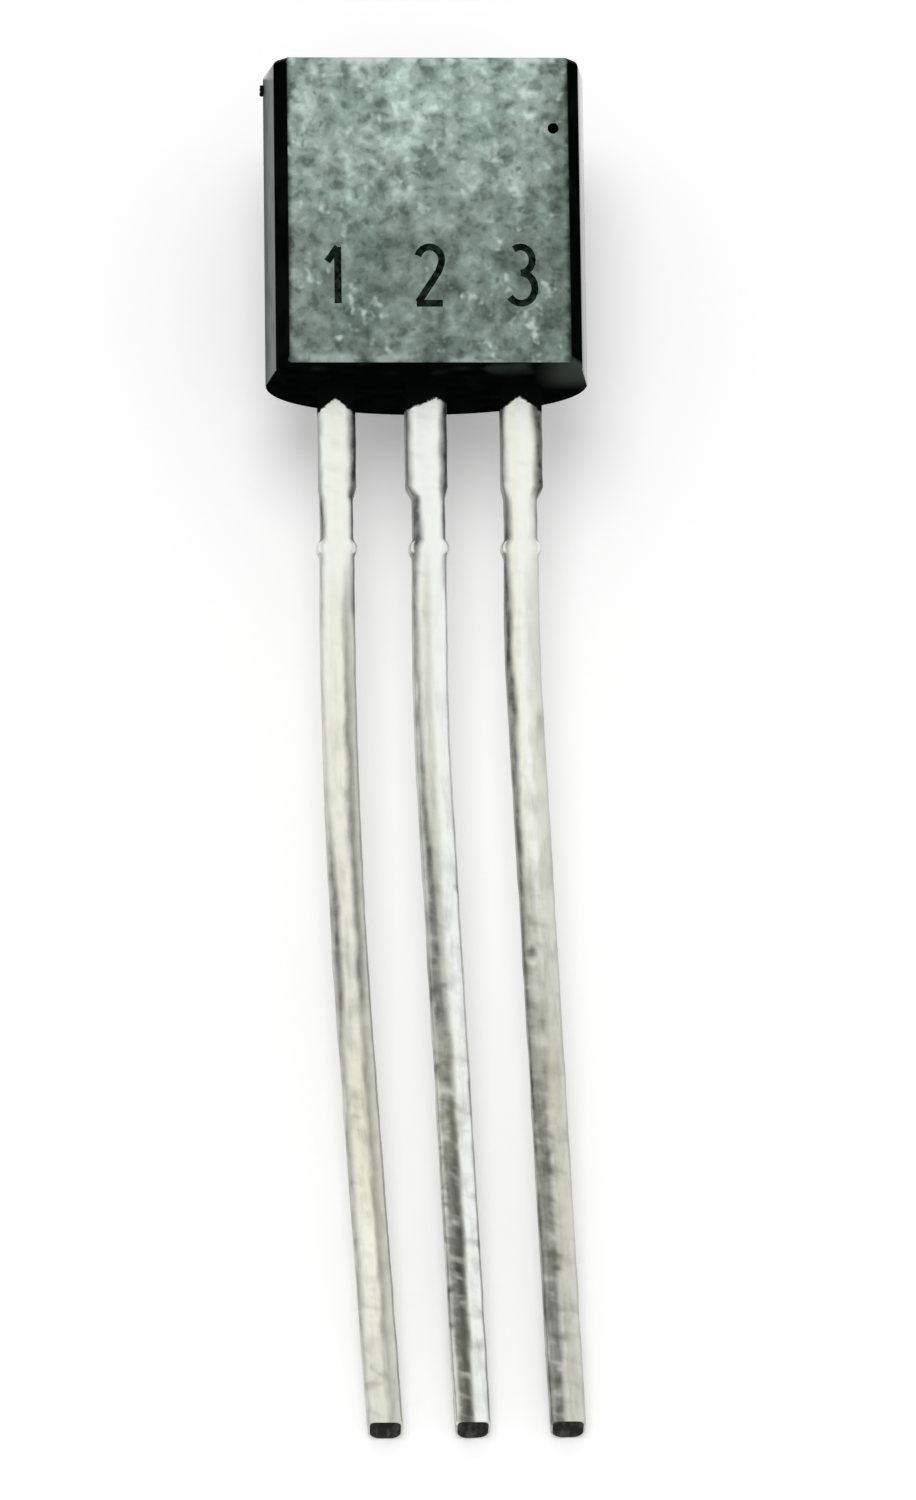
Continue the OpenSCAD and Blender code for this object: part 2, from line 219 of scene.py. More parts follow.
def tin_and_painted_shade(name, root_shade, streaks_and_edge_shade, scuffs, seed):
    """Dipped tin on one lead: bright faces, tarnished streaks, painted shade along the edges, and
    painted shade and reflection of the black body at the root.

    The root shade, (from, slope, apex), is painted shade and reflection of the black body, black
    and not metallic: how far down it reaches at its apex, and how much further beside it. Each band
    is a run of (along, middle, half width, grey) in millimetres from the seating face and across
    from the lead's middle, with its grey from 0 to 255; where the bands run along the edges they
    are painted shade, darkest near the body, and nearer the middle they are tarnish streaks. Scuffs
    is how much the lower half is scuffed, and the seed moves the patterns so that no two leads are
    alike.
    """
    made, tree, shader = material(name, tone(234, 236, 226), Metallic=1.0, Roughness=0.32,
                                  Specular_IOR_Level=0.0)
    place = node(tree, "Attribute", attribute_name="on_lead").outputs["Vector"]
    split = node(tree, "SeparateXYZ", {0: place}).outputs
    across, through = split[0], split[1]
    along = maths(tree, "MULTIPLY", split[2], -1.0)
    reach = maths(tree, "DIVIDE", along, TARNISH_END, clamp=True)
    # grain drawn out along the lead, and specks and patches with no direction
    grain = node(tree, "Mapping", {"Vector": place, "Location": (seed, seed, seed),
                                   "Scale": (1, 1, 0.16)}).outputs[0]
    drawn = node(tree, "TexNoise", {"Vector": grain, "Scale": 9.0, "Detail": 4.0,
                                    "Roughness": 0.6}).outputs[0]
    even = node(tree, "Mapping", {"Vector": place, "Location": (seed + 7, 3, seed)}).outputs[0]
    patch = node(tree, "TexNoise", {"Vector": even, "Scale": 3.2, "Detail": 5.0,
                                    "Roughness": 0.62}).outputs[0]
    speck = node(tree, "TexNoise", {"Vector": even, "Scale": 13.0, "Detail": 3.0,
                                    "Roughness": 0.6}).outputs[0]
    # clean tin, a little soiled further down
    soil = maths(tree, "MULTIPLY", fade(tree, patch, 0.44, 0.68),
                 fade(tree, along, 2.5, 12.0, 0.0, 0.6))
    colour = blend(tree, soil, tone(242, 244, 240), tone(214, 215, 206))
    # the bands, tarnish streaks and painted shade along the edges, have soft edges, wander a little
    # and are worn thin in places
    cloud = node(tree, "Mapping", {"Vector": even, "Scale": (1, 1, 0.6)}).outputs[0]
    cloud = node(tree, "TexNoise", {"Vector": cloud, "Scale": 3.6, "Detail": 1.5}).outputs[0]
    moved = maths(tree, "MULTIPLY_ADD", drawn, 0.06, maths(tree, "ADD", across, 0.43))
    moved = maths(tree, "MULTIPLY_ADD", cloud, 0.08, moved)
    worn = fade(tree, patch, 0.36, 0.62, 1.0, 0.8)
    for points in streaks_and_edge_shade:
        places = [at / TARNISH_END for at, *_ in points]
        sizes = [(0.5 + middle, half + 0.1, 0, 1) for _, middle, half, _ in points]
        size = node(tree, "SeparateColor",
                    {0: ramp(tree, reach, list(zip(places, sizes)))}).outputs
        offset = maths(tree, "ABSOLUTE", maths(tree, "SUBTRACT", moved, size[0]))
        mask = fade(tree, maths(tree, "SUBTRACT", size[1], offset), 0.045, 0.155)
        # the bands are a little yellow, the most so from 9 to 12 mm down
        greys = [tone(grey, grey + 1, grey * (0.975 if at < 3 else 0.91 if 9 < at < 12 else 0.94))
                 for at, *_, grey in points]
        colour = blend(tree, maths(tree, "MULTIPLY", mask, worn), colour,
                       ramp(tree, reach, list(zip(places, greys))))
    # scuffs across the lead, most of them low down and on its left, and fine lines along it
    cross = node(tree, "Mapping", {"Vector": place, "Location": (seed, 2, seed), "Scale": (2, 2, 1),
                                   "Rotation": (0, 0.35, 0)}, vector_type="TEXTURE").outputs[0]
    cross = node(tree, "TexNoise", {"Vector": cross, "Scale": 4.6, "Detail": 2.0,
                                    "Roughness": 0.5}).outputs[0]
    lower = maths(tree, "MULTIPLY", fade(tree, along, 6.0, 9.5, 0.12, scuffs),
                  fade(tree, across, -0.06, 0.08, 1.0, 0.3))
    colour = blend(tree, maths(tree, "MULTIPLY", fade(tree, cross, 0.5, 0.78), lower), colour,
                   tone(214, 215, 205))
    colour = blend(tree, maths(tree, "MULTIPLY", fade(tree, cross, 0.5, 0.22), lower), colour,
                   tone(92, 94, 82))
    fine = maths(tree, "MULTIPLY", fade(tree, drawn, 0.44, 0.7),
                 fade(tree, along, 1.5, 7.0, 0.1, 0.55))
    colour = blend(tree, fine, colour, blend(tree, 1.0, colour, tone(214, 215, 210), "MULTIPLY"))
    cloud = maths(tree, "MULTIPLY", fade(tree, cloud, 0.48, 0.7),
                  fade(tree, along, 2.0, 9.0, 0.1, 1.0))
    colour = blend(tree, cloud, colour, blend(tree, 1.0, colour, tone(234, 234, 234), "MULTIPLY"))
    # the tin is a little bluer along the right edge
    colour = blend(tree, fade(tree, across, 0.1, 0.19), colour,
                   blend(tree, 1.0, colour, (0.98, 0.98, 1.02, 1), "MULTIPLY"))
    # painted shade darkens the sheared sides, and a painted highlight brightens the edges at the
    # tie bar's stubs
    side = maths(tree, "ABSOLUTE", across)
    side_shade = maths(tree, "MULTIPLY", fade(tree, side, 0.21, 0.236),
                  fade(tree, maths(tree, "ABSOLUTE", through), 0.1, 0.16, 0.15, 0.0))
    colour = blend(tree, side_shade, colour, tone(160, 161, 150))
    stub = fade(tree, maths(tree, "ABSOLUTE", maths(tree, "SUBTRACT", along, TIE_BAR)),
                0.05, 0.1, 1.0, 0.0)
    colour = blend(tree, maths(tree, "MULTIPLY", stub, fade(tree, side, 0.17, 0.21)), colour,
                   tone(236, 238, 232))
    # painted shade and painted reflection of the black body on the tin at the root, black and not
    # metallic
    start_at, slope, apex = root_shade
    spread = maths(tree, "ABSOLUTE", maths(tree, "SUBTRACT", across, apex))
    edge = maths(tree, "MULTIPLY_ADD", spread, slope, start_at)
    edge = maths(tree, "MULTIPLY_ADD", speck, 0.12, maths(tree, "ADD", edge, -0.06))
    root_shade_mask = fade(tree, maths(tree, "SUBTRACT", along, edge), -0.02, 0.02, 1.0, 0.0)
    colour = blend(tree, root_shade_mask, colour, tone(12, 15, 13))
    tree.links.new(colour, shader.inputs["Base Color"])
    tree.links.new(maths(tree, "SUBTRACT", 1.0, root_shade_mask), shader.inputs["Metallic"])
    rough = maths(tree, "MULTIPLY_ADD", speck, 0.2, 0.24)
    rough = maths(tree, "MAXIMUM", rough, maths(tree, "MULTIPLY", root_shade_mask, 0.6))
    tree.links.new(rough, shader.inputs["Roughness"])
    height = maths(tree, "MULTIPLY_ADD", drawn, 0.6, maths(tree, "MULTIPLY", speck, 0.5))
    bump = node(tree, "Bump", {"Strength": 0.35, "Distance": 0.00002, "Height": height})
    tree.links.new(bump.outputs[0], shader.inputs["Normal"])
    return made


# where the strip was sheared through, its bare copper alloy is dark and torn
sheared_metal, tree, shader = material("sheared_metal", tone(44, 43, 40), Metallic=0.5,
                                       Roughness=0.5, Specular_IOR_Level=0.0)
place = node(tree, "TexCoord").outputs["Object"]
torn = node(tree, "Mapping", {"Vector": place, "Scale": (1000, 1000, 300)}).outputs[0]
grit = node(tree, "TexNoise", {"Vector": torn, "Scale": 9.0, "Detail": 4.0}).outputs[0]
tree.links.new(blend(tree, fade(tree, grit, 0.42, 0.72), tone(34, 35, 33), tone(82, 81, 75)),
               shader.inputs["Base Color"])
tree.links.new(node(tree, "Bump", {"Strength": 0.5, "Distance": 0.00001,
                                   "Height": grit}).outputs[0], shader.inputs["Normal"])


def draw_lead(name, middle, paddle, strip, straight, bend, turn, root_shade, streaks_and_edge_shade, scuffs, seed):
    """Draw one lead upright from its paddle down to past its tip, bend it and shear it off.

    The paddle is (left, right, bottom, top) and the strip (left, right), measured from the lead's
    middle. The lead runs straight for a while, turns by some degrees along its bend, and goes on.
    """
    neck = (-NECK_W / 2, NECK_W / 2)
    plain = (-LEAD_W / 2, LEAD_W / 2)
    stub = (plain[0] - TIE_BAR_OUT, plain[1] + TIE_BAR_OUT)
    left, right, bottom, top = paddle
    halfway = tuple((a + b) / 2 for a, b in zip(strip, neck))
    stations = [
        (-top, left, right), (-bottom, left, right), (-bottom + 0.04, *strip),
        (SHOULDER_END - 0.06, *strip), (SHOULDER_END + 0.02, *strip),
        ((SHOULDER_END + TAPER_END) / 2, *halfway), (TAPER_END - 0.02, *neck),
        (TAPER_END + 0.06, *neck),
        (TIE_BAR - TIE_BAR_H / 2 - 0.06, *neck), (TIE_BAR - TIE_BAR_H / 4, *stub),
        (TIE_BAR + TIE_BAR_H / 4, *stub), (TIE_BAR + TIE_BAR_H / 2 + 0.06, *plain),
        (straight, *plain), (straight + bend, *plain), (LEAD_LENGTH + SHEARED_OFF, *plain),
    ]
    depth, x0, x1 = stations[0]
    lead = start(bpy.ops.mesh.primitive_plane_add, name, size=1)
    bpy.ops.transform.resize(value=(x1 - x0, STRIP_T, 1))
    bpy.ops.transform.translate(value=((x0 + x1) / 2, 0, -depth))
    # the punch rounded the edges over on its own side of the strip
    for face, radius in ((-1, EDGE_R), (1, BACK_EDGE_R)):
        pick(lambda v: v.co.y * face > STRIP_T / 2 - NEAR)
        bpy.ops.mesh.bevel(offset=radius, segments=5, affect="VERTICES")
    for below, a, b in stations[1:]:
        level = -below
        pick(lambda v: abs(v.co.z + depth) < NEAR)
        bpy.ops.mesh.extrude_region_move(TRANSFORM_OT_translate={"value": (0, 0, depth - below)})
        centre = (x0 + x1) / 2
        for side, shift in ((-1, a - x0), (1, b - x1)):
            if abs(shift) > 1e-6:
                pick(lambda v: abs(v.co.z - level) < NEAR and (v.co.x - centre) * side > 0)
                bpy.ops.transform.translate(value=(shift, 0, 0))
        depth, x0, x1 = below, a, b
    # close rings all the way down, for the uneven tin and for the bend
    ends = [-station[0] for station in stations]
    for upper, lower in zip(ends, ends[1:]):
        cuts = round((upper - lower) / RING_GAP) - 1
        if cuts > 0 and pick(lambda e: {round(v.co.z, 3) for v in e.verts}
                             == {round(upper, 3), round(lower, 3)}, "edges"):
            bpy.ops.mesh.subdivide(number_cuts=cuts)
    bpy.ops.mesh.select_all(action="SELECT")
    bpy.ops.mesh.normals_make_consistent(inside=False)
    bpy.ops.object.mode_set(mode="OBJECT")
    # where each point lies on the straight lead, in millimetres, which its finish follows; at the
    # shoulder and the stubs the place across is drawn in to the plain lead's width
    kept = lead.data.attributes.new("on_lead", "FLOAT_VECTOR", "POINT")
    for vertex, point in zip(lead.data.vertices, kept.data):
        x, y, z = vertex.co
        for (above, a0, b0), (below, a1, b1) in zip(stations, stations[1:]):
            if above - NEAR <= -z <= below + NEAR:
                share = (-z - above) / (below - above)
                x0, x1 = a0 + (a1 - a0) * share, b0 + (b1 - b0) * share
        point.vector = ((x - (x0 + x1) / 2) * LEAD_W / (x1 - x0), y, z)
    # the dipped tin is a little lumpy
    lumps = bpy.data.textures.new(name + "_lumps", "CLOUDS")
    lumps.noise_scale = LUMP_SIZE
    lumps.noise_depth = 2
    modify(lead, "DISPLACE", texture=lumps, strength=LUMP_H, mid_level=0.5)
    # the bend, a little at a time
    bpy.ops.object.mode_set(mode="EDIT")
    x, z = 0.0, -straight
    for step in range(BEND_STEPS):
        edge = z - bend / BEND_STEPS / 3
        pick(lambda v: v.co.z < edge)
        bpy.ops.transform.rotate(value=math.radians(turn) / BEND_STEPS, orient_axis="Y",
                                 center_override=(x, 0, z))
        angle = math.radians(turn) * (step + 1) / BEND_STEPS
        x += bend / BEND_STEPS * math.sin(angle)
        z -= bend / BEND_STEPS * math.cos(angle)
    # the shear takes all three tips off in one plane
    bpy.ops.mesh.select_all(action="SELECT")
    cut = Vector((0, -math.sin(TIP_CUT), -math.cos(TIP_CUT)))
    bpy.ops.mesh.bisect(plane_co=Vector((0, STRIP_T / 2, -LEAD_LENGTH)) - cut * TIP_R,
                        plane_no=-cut, clear_inner=True, use_fill=True, threshold=WELD)
    bpy.ops.object.mode_set(mode="OBJECT")
    lead.data.materials.append(tin_and_painted_shade(name + "_tin", root_shade, streaks_and_edge_shade, scuffs, seed))
    lead.data.materials.append(sheared_metal)
    bpy.ops.object.mode_set(mode="EDIT")
    pick(lambda f: f.normal.dot(cut) > 0.999 and f.calc_area() > 0.05, "faces")
    lead.active_material_index = 1
    bpy.ops.object.material_slot_assign()
    # the sheared end's edges are a little round, in three steps of 30 degrees
    for angle in (30, 60, 90):
        before = math.radians(angle - 30)
        after = math.radians(angle)
        shrink = 1 - 2 * TIP_R * (math.cos(before) - math.cos(after)) / LEAD_W
        bpy.ops.mesh.extrude_region_move(TRANSFORM_OT_translate={
            "value": cut * TIP_R * (math.sin(after) - math.sin(before))})
        bpy.ops.transform.resize(value=(shrink, shrink, shrink))
    bpy.ops.mesh.select_all(action="SELECT")
    bpy.ops.transform.translate(value=(middle, 0, 0))
    lay_down(lead)
    bpy.ops.object.shade_smooth_by_angle(angle=math.radians(50))
    return lead


PAD = (-0.245, 1.655, 2.1, 3.6)
BASE_PADDLE = (-0.4, 0.4, 1.03, 1.68)
EMITTER_PADDLE = (-0.465, 0.385, 1.98, 3.18)
# in each lead's list of bands, those that run along its edges, darkest near the body, are painted
# shade; the rest are tarnish streaks
collector = draw_lead(
    "collector_leg", -PITCH, PAD, (-0.245, 0.275), 3.4, 6.2, 3.7, (0.2, 0.9, -0.02), [
        [(2.6, -0.04, 0.1, 240), (3.5, -0.04, 0.12, 236), (9.0, -0.04, 0.13, 230),
         (9.4, -0.04, 0.13, 226), (10.7, -0.04, 0.13, 230), (12.0, -0.04, 0.13, 242),
         (12.8, -0.04, 0.13, 236), (13.4, -0.04, 0.13, 230), (15.0, -0.04, 0.13, 212)],
        [(0.2, -0.235, 0.02, 130), (1.5, -0.235, 0.02, 105), (1.66, -0.225, 0.04, 50),
         (2.15, -0.215, 0.045, 50), (2.4, -0.22, 0.025, 165), (3.2, -0.22, 0.025, 175),
         (3.6, -0.225, 0.015, 205), (6.0, -0.205, 0.03, 185), (7.1, -0.175, 0.055, 108),
         (8.5, -0.178, 0.055, 104), (9.3, -0.2, 0.035, 170), (12.6, -0.215, 0.03, 168),
         (13.6, -0.22, 0.025, 185), (15.0, -0.22, 0.025, 185)],
        [(2.3, 0.15, 0.05, 238), (2.8, 0.155, 0.07, 202), (3.6, 0.17, 0.07, 198),
         (5.0, 0.17, 0.07, 192), (11.0, 0.16, 0.08, 200), (15.0, 0.14, 0.1, 206)],
        [(2.4, 0.12, 0.02, 238), (3.2, 0.105, 0.035, 168), (4.5, 0.11, 0.04, 148),
         (6.3, 0.115, 0.045, 134), (8.5, 0.115, 0.045, 130), (8.9, 0.1, 0.03, 170),
         (9.4, 0.1, 0.04, 160), (10.7, 0.09, 0.04, 155), (12.6, 0.09, 0.035, 170),
         (15.0, 0.09, 0.035, 182)],
        [(0.2, 0.2, 0.055, 66), (0.9, 0.205, 0.055, 48), (1.55, 0.205, 0.055, 30),
         (1.7, 0.235, 0.035, 50), (2.2, 0.235, 0.035, 48), (2.4, 0.22, 0.03, 140),
         (3.2, 0.225, 0.035, 118), (3.5, 0.235, 0.015, 200), (15.0, 0.24, 0.01, 230)],
    ], 0.4, 1.0)
base = draw_lead(
    "base_leg", 0.0, BASE_PADDLE, (-0.315, 0.265), 4.0, 1.8, 2.65, (0.2, 0.5, 0.12), [
        [(2.2, -0.05, 0.05, 240), (3.0, -0.05, 0.06, 216), (6.6, -0.04, 0.06, 206),
         (7.2, -0.04, 0.04, 200), (9.0, -0.02, 0.03, 190)],
        [(0.2, -0.215, 0.035, 110), (1.5, -0.215, 0.035, 100), (1.62, -0.18, 0.06, 44),
         (2.2, -0.17, 0.065, 28), (2.36, -0.185, 0.05, 84), (2.6, -0.2, 0.035, 118),
         (3.2, -0.205, 0.035, 126), (3.6, -0.185, 0.035, 150), (5.1, -0.17, 0.04, 134),
         (5.9, -0.165, 0.05, 118), (6.5, -0.15, 0.06, 98), (7.2, -0.135, 0.07, 106),
         (8.4, -0.135, 0.075, 108), (8.8, -0.12, 0.09, 104), (9.0, -0.12, 0.1, 132),
         (9.5, -0.1, 0.11, 148), (10.1, -0.1, 0.11, 130), (10.22, -0.1, 0.1, 112),
         (10.3, -0.1, 0.1, 195), (10.42, -0.11, 0.1, 128), (12.0, -0.105, 0.09, 124),
         (13.45, -0.105, 0.09, 126), (13.55, -0.1, 0.09, 170), (13.65, -0.105, 0.09, 126),
         (15.0, -0.105, 0.09, 120)],
        [(9.3, -0.05, -0.06, 130), (10.4, -0.05, 0.05, 108), (10.7, -0.05, 0.055, 98),
         (11.8, -0.05, 0.06, 82), (12.7, -0.055, 0.06, 66), (13.3, -0.055, 0.055, 98),
         (15.0, -0.06, 0.06, 76)],
        [(0.2, 0.215, 0.05, 44), (1.5, 0.215, 0.05, 34), (1.62, 0.22, 0.035, 80),
         (2.2, 0.22, 0.035, 96), (2.4, 0.215, 0.03, 156), (2.8, 0.22, 0.025, 190),
         (3.3, 0.235, 0.01, 236), (6.9, 0.235, 0.01, 236), (7.1, 0.215, 0.03, 130),
         (7.2, 0.235, 0.01, 234), (9.7, 0.235, 0.01, 234), (9.8, 0.215, 0.03, 150),
         (9.9, 0.235, 0.01, 230), (11.9, 0.235, 0.01, 230), (12.0, 0.215, 0.03, 150),
         (12.1, 0.235, 0.01, 226), (15.0, 0.225, 0.02, 205)],
    ], 0.95, 2.0)
emitter = draw_lead(
    "emitter_leg", PITCH, EMITTER_PADDLE, (-0.265, 0.315), 3.3, 1.2, 2.5, (0.17, 0.9, -0.02), [
        [(2.3, 0.14, 0.08, 240), (2.9, 0.15, 0.1, 220), (6.8, 0.15, 0.12, 218),
         (8.0, 0.14, 0.14, 208), (9.0, 0.13, 0.15, 197), (9.6, 0.12, 0.16, 190),
         (10.6, 0.13, 0.15, 200), (15.0, 0.13, 0.14, 194)],
        [(4.55, 0.2, 0.06, 216), (4.72, 0.2, 0.07, 176), (4.9, 0.2, 0.06, 186),
         (5.1, 0.2, 0.05, 214)],
        [(6.4, -0.1, 0.05, 238), (7.1, -0.1, 0.08, 196), (8.6, -0.08, 0.1, 192),
         (8.8, -0.08, 0.11, 172), (9.6, -0.09, 0.1, 158), (10.1, -0.11, 0.09, 132),
         (10.9, -0.12, 0.08, 120), (11.9, -0.1, 0.095, 138), (12.7, -0.11, 0.09, 124),
         (13.2, -0.115, 0.08, 96), (15.0, -0.105, 0.08, 108)],
        [(0.2, -0.215, 0.025, 165), (1.5, -0.21, 0.03, 140), (1.65, -0.2, 0.045, 84),
         (2.2, -0.19, 0.055, 60), (2.4, -0.205, 0.04, 110), (2.8, -0.205, 0.055, 84),
         (4.0, -0.2, 0.055, 80), (4.7, -0.19, 0.06, 88), (5.2, -0.2, 0.05, 98),
         (6.5, -0.21, 0.045, 94), (7.5, -0.21, 0.04, 108), (15.0, -0.21, 0.035, 112)],
        [(7.8, -0.125, -0.06, 120), (7.95, -0.125, 0.05, 80), (8.04, -0.125, 0.05, 80),
         (8.1, -0.125, 0.05, 240), (8.25, -0.125, -0.06, 236)],
        [(0.2, 0.195, 0.065, 26), (0.6, 0.2, 0.06, 24), (1.5, 0.215, 0.055, 24),
         (1.62, 0.235, 0.03, 60), (2.2, 0.24, 0.02, 90), (2.4, 0.235, 0.01, 215),
         (15.0, 0.235, 0.01, 215)],
    ], 0.85, 3.0)
for leg, cad in ((collector, "collector_lead"), (base, "base_lead"), (emitter, "emitter_lead")):
    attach(leg, "root")
    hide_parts(cad)

# ---------------------------------------------------------------------------------------------
# Chip. A square of silicon glued to the collector's pad with silver-filled epoxy, and two fine
# wires ball-bonded from its face to the other two paddles, before the body is moulded over them.
# ---------------------------------------------------------------------------------------------


def dress(cad, made):
    """Give a CAD node its finish."""
    mesh = frame["nodes"][cad].data
    mesh.materials.clear()
    mesh.materials.append(made)


silicon, tree, shader = material("silicon_mirror", tone(88, 96, 112), Metallic=0.6, Roughness=0.25)
place = node(tree, "TexCoord").outputs["Object"]
cells = node(tree, "TexVoronoi", {"Vector": place, "Scale": 22000.0}, distance="CHEBYCHEV")
tree.links.new(blend(tree, fade(tree, cells.outputs[0], 0.1, 0.4), tone(70, 78, 104),
                     tone(128, 132, 140)), shader.inputs["Base Color"])
dress("silicon_die", silicon)

die_glue, tree, shader = material("silver_glue", tone(140, 143, 147), Metallic=0.4, Roughness=0.55)
place = node(tree, "TexCoord").outputs["Object"]
flakes = node(tree, "TexNoise", {"Vector": place, "Scale": 60000.0, "Detail": 3.0}).outputs[0]
tree.links.new(blend(tree, flakes, tone(112, 114, 118), tone(176, 178, 182)),
               shader.inputs["Base Color"])
dress("die_attach", die_glue)

bond_wire, tree, shader = material("bright_copper", tone(196, 134, 88), Metallic=1.0,
                                   Roughness=0.28)
place = node(tree, "TexCoord").outputs["Object"]
drawn = node(tree, "TexNoise", {"Vector": place, "Scale": 30000.0, "Detail": 2.0}).outputs[0]
tree.links.new(blend(tree, drawn, tone(176, 112, 70), tone(214, 152, 104)),
               shader.inputs["Base Color"])
dress("base_bond_wire", bond_wire)
dress("emitter_bond_wire", bond_wire)

# ---------------------------------------------------------------------------------------------
# Body. Filled black epoxy, moulded round the leads: a round back, a parting line across the
# middle, and a flat front whose mould was sandblasted while its bevels were left polished. The
# epoxy came in through a gate on the parting line, which was broken off.
# ---------------------------------------------------------------------------------------------

BODY_W = 4.46
BODY_H = 4.5
FLAT_DEPTH = 1.2
FLAT_W = 3.88
BEVEL_W = 0.17
BEVEL_DEPTH = 0.4
DRAFT = math.radians(4)
BODY_R = BODY_W / 2
WALL_DEPTH = FLAT_DEPTH - BEVEL_DEPTH
WALL_END_OUT = 0.03
FLAT_EDGE_R = 0.12
TOP_EDGE_R = 0.09
SEAT_EDGE_R = 0.06
CORNER_R = 0.035
# where a drafted end meets the flat, a rounding of radius 1 starts this far from their edge
EDGE_WIDTH = 0.93
FLAT_BORDER = 0.02
GATE = (-BODY_R, 0, BODY_H - 0.24)
GATE_R = 0.08
GATE_L = 0.12
GATE_SUNK = 0.02
GATE_OUT = 0.048
PINHOLE = (FLAT_W / 2 - 0.21, -FLAT_DEPTH, BODY_H - 1.11)
PINHOLE_R = 0.078
MARK_H = 0.8
MARK_Z = 0.9
MARK_W = 0.1
MARK_DEPTH = 0.014

body = start(bpy.ops.mesh.primitive_cylinder_add, "moulded_body", vertices=128, radius=BODY_R,
             depth=BODY_H + 1)
bpy.ops.transform.translate(value=(0, 0, BODY_H / 2))
# the round back, its top and bottom drafted away from the parting line
bpy.ops.mesh.bisect(plane_co=(0, 0, 0), plane_no=(0, 1, 0), clear_inner=True, use_fill=True,
                    threshold=WELD)
for level, up in ((BODY_H, 1), (0, -1)):
    bpy.ops.mesh.select_all(action="SELECT")
    bpy.ops.mesh.bisect(plane_co=(0, 0, level),
                        plane_no=(0, math.sin(DRAFT), up * math.cos(DRAFT)),
                        clear_outer=True, use_fill=True, threshold=WELD)
# the front, drawn forward from the parting line to the bevels and then to the flat; its top and
# bottom stand a little out of their draft where the walls end
half_w, half_h, depth = BODY_R, BODY_H / 2, 0.0
for next_depth, next_half_w, stands_out in (
        (WALL_DEPTH, FLAT_W / 2 + BEVEL_W, WALL_END_OUT), (FLAT_DEPTH, FLAT_W / 2, 0)):
    pick(lambda f: f.normal.y < -0.99 and abs(f.calc_center_median().y + depth) < NEAR, "faces")
    bpy.ops.mesh.extrude_region_move(
        TRANSFORM_OT_translate={"value": (0, depth - next_depth, 0)})
    next_half_h = BODY_H / 2 - next_depth * math.tan(DRAFT) + stands_out
    bpy.ops.transform.resize(value=(next_half_w / half_w, 1, next_half_h / half_h),
                             center_override=(0, -next_depth, BODY_H / 2))
    half_w, half_h, depth = next_half_w, next_half_h, next_depth
bpy.ops.mesh.select_all(action="SELECT")
bpy.ops.mesh.normals_make_consistent(inside=False)
# every sharp edge of the mould's cavity is a little round, those above and below the flat most
only(body)
weights = body.data.attributes.new("bevel_weight_edge", "FLOAT", "EDGE")
shape = bmesh.new()
shape.from_mesh(body.data)
for edge in shape.edges:
    ends = [vertex.co for vertex in edge.verts]
    radius = CORNER_R
    if abs(ends[0].z - ends[1].z) < 0.1:
        radius = TOP_EDGE_R if ends[0].z > BODY_H / 2 else SEAT_EDGE_R
        if all(end.y < -FLAT_DEPTH + 0.01 for end in ends):
            radius = FLAT_EDGE_R
    if edge.calc_face_angle() > math.radians(25):
        weights.data[edge.index].value = radius / FLAT_EDGE_R
shape.free()
modify(body, "BEVEL", width=FLAT_EDGE_R * EDGE_WIDTH, segments=4, limit_method="WEIGHT")
# a narrow border keeps the flat's own surface dead flat
bpy.ops.object.mode_set(mode="EDIT")
pick(lambda f: f.normal.y < -0.9999 and f.calc_area() > 5, "faces")
bpy.ops.mesh.inset(thickness=FLAT_BORDER)
only(body)


def cut_from(piece, tool, operation="DIFFERENCE"):
    """Cut a tool from a piece, or join it on, and throw the tool away."""
    modify(piece, "BOOLEAN", object=tool, operation=operation, solver="EXACT",
           material_mode="TRANSFER")
    bpy.data.objects.remove(tool)


def drawn_at(piece):
    """Keep where each point lies on the upright part, in millimetres, for the finish to follow."""
    kept = piece.data.attributes.new("on_part", "FLOAT_VECTOR", "POINT")
    for vertex, point in zip(piece.data.vertices, kept.data):
        point.vector = vertex.co


def black_epoxy(name, colour, gloss, **shader_inputs):
    """Filled black epoxy with the fine grain of its mould."""
    made, tree, shader = material(name, tone(*colour), **shader_inputs)
    shader.inputs["Specular IOR Level"].default_value = gloss
    place = node(tree, "Attribute", attribute_name="on_part").outputs["Vector"]
    haze = node(tree, "TexNoise", {"Vector": place, "Scale": 2.2, "Detail": 4.0}).outputs[0]
    lighter = tone(*[round(part * 1.3 + 5) for part in colour])
    black = blend(tree, fade(tree, haze, 0.42, 0.68), tone(*colour), lighter)
    # the front of the seating face is dulled in patches, and all of its right end
    across, back, height = node(tree, "SeparateXYZ", {0: place}).outputs
    dull = node(tree, "TexNoise", {"Vector": place, "Scale": 1.3, "Detail": 1.0}).outputs[0]
    dull = maths(tree, "MULTIPLY", fade(tree, dull, 0.5, 0.64, 0.0, 0.5),
                 fade(tree, back, -0.55, -1.0))
    end = maths(tree, "MULTIPLY", fade(tree, across, 1.4, 2.0), fade(tree, back, 0.2, -0.7))
    dull = maths(tree, "MULTIPLY", maths(tree, "MAXIMUM", dull, end),
                 fade(tree, height, 0.18, 0.1))
    tree.links.new(blend(tree, dull, black, tone(62, 71, 66)), shader.inputs["Base Color"])
    grain = node(tree, "TexNoise", {"Vector": place, "Scale": 38.0, "Detail": 3.0}).outputs[0]
    bump = node(tree, "Bump", {"Strength": 0.25, "Distance": 0.000004, "Height": grain})
    tree.links.new(bump.outputs[0], shader.inputs["Normal"])
    return made


